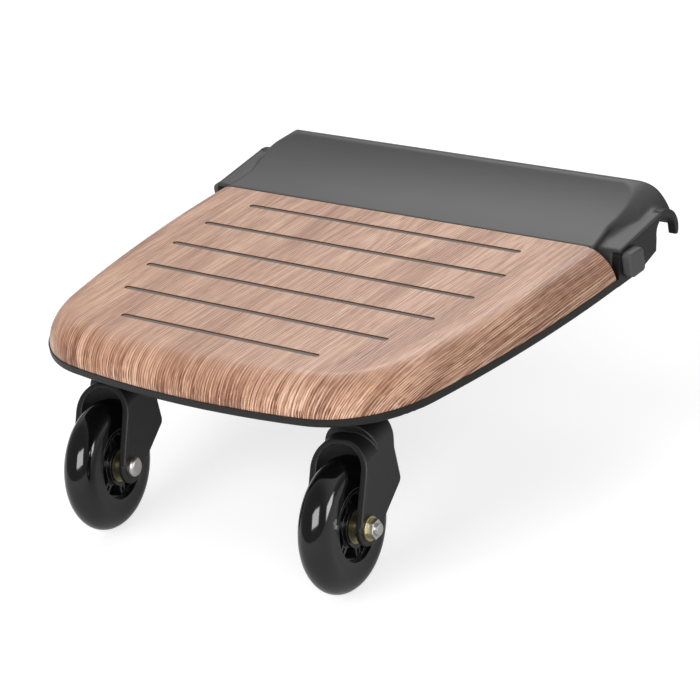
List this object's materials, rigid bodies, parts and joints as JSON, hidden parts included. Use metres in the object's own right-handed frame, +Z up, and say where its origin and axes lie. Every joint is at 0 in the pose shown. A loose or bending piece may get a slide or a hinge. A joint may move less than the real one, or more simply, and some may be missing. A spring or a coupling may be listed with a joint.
{
  "type": "stroller ride-on board",
  "caption": "Low wood-look platform with grip slits and a dark cover that hooks over a stroller's rear tube, held by side-button latches and carried on swivelling casters.",
  "frame": {"origin": "On the centre line of the stroller tube that the hooks hold, midway across the board.", "axes": "+X to the board's right as seen by a child on it facing the stroller, +Y forwards to the stroller, +Z up from the deck."},
  "size_m": [0.374, 0.3505, 0.1619],
  "materials": {
    "wood_laminate": "satin",
    "tread_rubber": "matt",
    "tray_plastic": "satin",
    "cover_plastic": "satin",
    "button_plastic": "satin",
    "latch_plastic": "satin",
    "fork_plastic": "satin",
    "bush_plastic": "satin",
    "tyre_urethane": "gloss",
    "hub_plastic": "gloss",
    "bright_steel": "bright",
    "yellow_zinc": "plated",
    "dark_steel": "blackened"
  },
  "bodies": {
    "board": {"deck_panel": "wood_laminate", "tread_mat": "tread_rubber", "base_tray": "tray_plastic", "hook_cover": "cover_plastic", "hook_bracket_left": "tray_plastic", "hook_bracket_right": "tray_plastic", "deck_screws": "dark_steel", "cover_screws": "dark_steel", "caster_bush_left": "bush_plastic", "caster_bush_right": "bush_plastic", "latch_spring_left": "bright_steel", "latch_spring_right": "bright_steel"},
    "caster_left": {"caster_fork_left": "fork_plastic", "caster_stem_left": "bright_steel", "stem_clip_left": "dark_steel", "axle_bolt_left": "bright_steel", "axle_washer_left": "yellow_zinc", "axle_nut_left": "bright_steel", "axle_collars_left": "dark_steel", "bearing_inner_rings_left": "bright_steel", "bearing_spacer_left": "bright_steel"},
    "wheel_left": {"tyre_left": "tyre_urethane", "hub_left": "hub_plastic", "bearing_outer_rings_left": "yellow_zinc"},
    "button_left": {"button_left": "button_plastic"},
    "latch_left": {"latch_left": "latch_plastic"},
    "caster_right": {"caster_fork_right": "fork_plastic", "caster_stem_right": "bright_steel", "stem_clip_right": "dark_steel", "axle_bolt_right": "bright_steel", "axle_washer_right": "yellow_zinc", "axle_nut_right": "bright_steel", "axle_collars_right": "dark_steel", "bearing_inner_rings_right": "bright_steel", "bearing_spacer_right": "bright_steel"},
    "wheel_right": {"tyre_right": "tyre_urethane", "hub_right": "hub_plastic", "bearing_outer_rings_right": "yellow_zinc"},
    "button_right": {"button_right": "button_plastic"},
    "latch_right": {"latch_right": "latch_plastic"}
  },
  "joints": [
    {"name": "caster_swivel_left", "type": "hinge", "parent": "board", "child": "caster_left", "pos_m": [-0.1056, -0.251, -0.02], "axis": [0, 0, 1], "continuous": true},
    {"name": "wheel_spin_left", "type": "hinge", "parent": "caster_left", "child": "wheel_left", "pos_m": [-0.09757, -0.28814, -0.0874], "axis": [0.9774, 0.2113, 0], "continuous": true},
    {"name": "button_press_left", "type": "slide", "parent": "board", "child": "button_left", "axis": [1, 0, 0], "range_m": [0, 0.006], "stiffness_N_per_m": 150, "springref_m": -0.002},
    {"name": "latch_slide_left", "type": "slide", "parent": "board", "child": "latch_left", "axis": [0, -1, 0], "range_m": [0, 0.006], "stiffness_N_per_m": 300, "springref_m": -0.003, "deforming": ["latch_spring_left"]},
    {"name": "caster_swivel_right", "type": "hinge", "parent": "board", "child": "caster_right", "pos_m": [0.1056, -0.251, -0.02], "axis": [0, 0, 1], "continuous": true},
    {"name": "wheel_spin_right", "type": "hinge", "parent": "caster_right", "child": "wheel_right", "pos_m": [0.11187, -0.28848, -0.0874], "axis": [0.9863, 0.165, 0], "continuous": true},
    {"name": "button_press_right", "type": "slide", "parent": "board", "child": "button_right", "axis": [-1, 0, 0], "range_m": [0, 0.006], "stiffness_N_per_m": 150, "springref_m": -0.002},
    {"name": "latch_slide_right", "type": "slide", "parent": "board", "child": "latch_right", "axis": [0, -1, 0], "range_m": [0, 0.006], "stiffness_N_per_m": 300, "springref_m": -0.003, "deforming": ["latch_spring_right"]}
  ],
  "couplings": [
    {"joint": "latch_slide_left", "follows": "button_press_left", "ratio": 1},
    {"joint": "latch_slide_right", "follows": "button_press_right", "ratio": 1}
  ]
}
